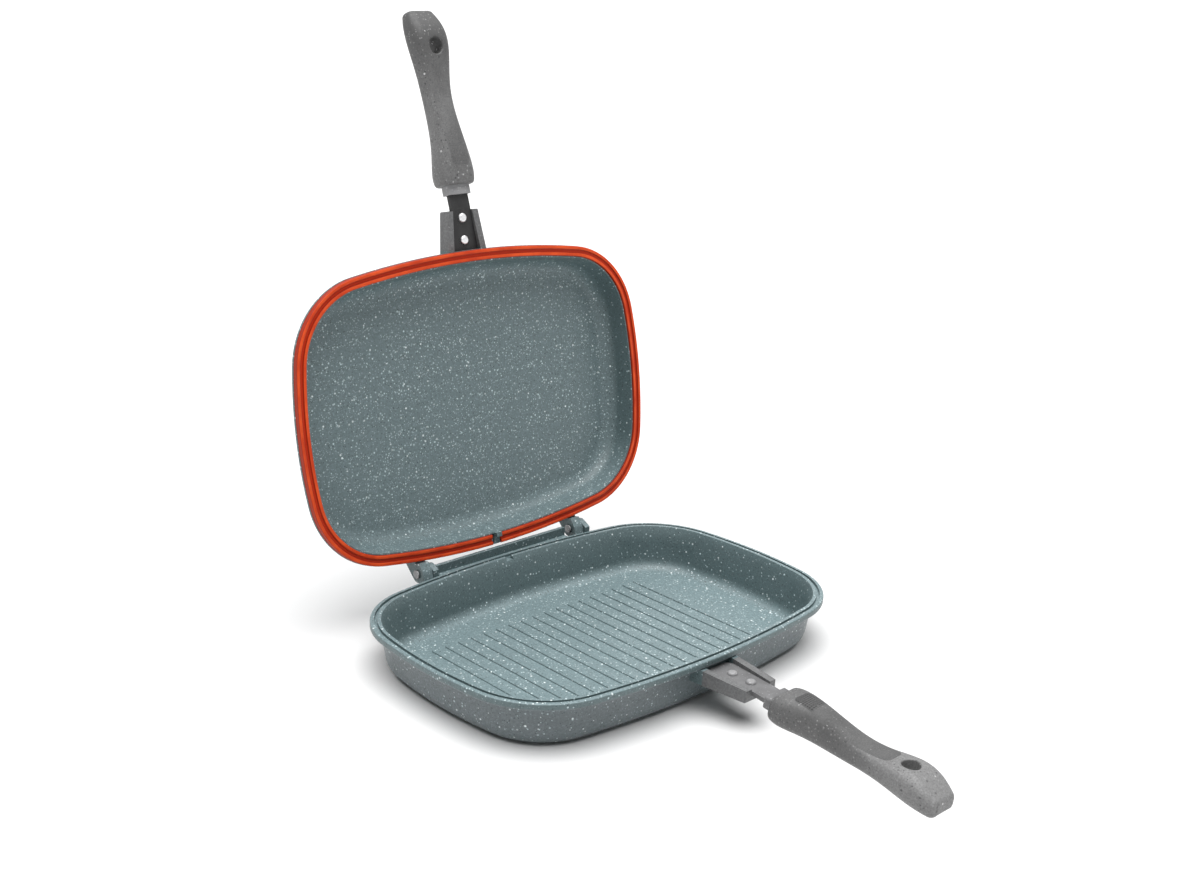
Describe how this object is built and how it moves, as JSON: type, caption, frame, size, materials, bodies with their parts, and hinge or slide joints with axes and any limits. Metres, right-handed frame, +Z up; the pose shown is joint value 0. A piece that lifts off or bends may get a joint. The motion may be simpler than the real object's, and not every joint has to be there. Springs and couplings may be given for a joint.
{
  "type": "double sided flip pan",
  "caption": "Hinged frying pan made of a ribbed lower half and a flat upper half that close on a gasket, each with its own handle.",
  "frame": {"origin": "middle of the flat base of the lower half", "axes": "+X along the hinge, -Y out along the lower handle, +Z up, with the upper half standing open at +Y"},
  "size_m": [0.32, 0.513, 0.4207],
  "materials": {
    "stone_coating": "speckled non-stick coating on cast aluminium, satin",
    "gasket_rubber": "orange-red silicone, satin",
    "grip_plastic": "grey moulded plastic with a fine speckle, matte",
    "panel_rubber": "finely ridged soft inlay, matte",
    "dark_steel": "coated flat steel",
    "ferrule_metal": "grey coated pressed steel, satin",
    "rivet_metal": "bright domed rivet",
    "steel": "plain steel"
  },
  "bodies": {
    "lower_half": {"lower_pan": "stone_coating", "left_hinge_pin": "steel", "right_hinge_pin": "steel", "lower_strap": "dark_steel", "lower_rivets": "rivet_metal", "lower_ferrule": "ferrule_metal", "lower_grip": "grip_plastic", "lower_grip_panel": "panel_rubber", "lower_grip_screw": "steel"},
    "upper_half": {"upper_pan": "stone_coating", "gasket": "gasket_rubber", "upper_strap": "dark_steel", "upper_rivets": "rivet_metal", "upper_ferrule": "ferrule_metal", "upper_grip": "grip_plastic", "upper_grip_panel": "panel_rubber", "upper_grip_screw": "steel"}
  },
  "joints": [
    {"name": "hinge", "type": "hinge", "parent": "lower_half", "child": "upper_half", "pos_m": [0, 0.11415, 0.0386], "axis": [1, 0, 0], "range_deg": [0, 100.3]}
  ]
}
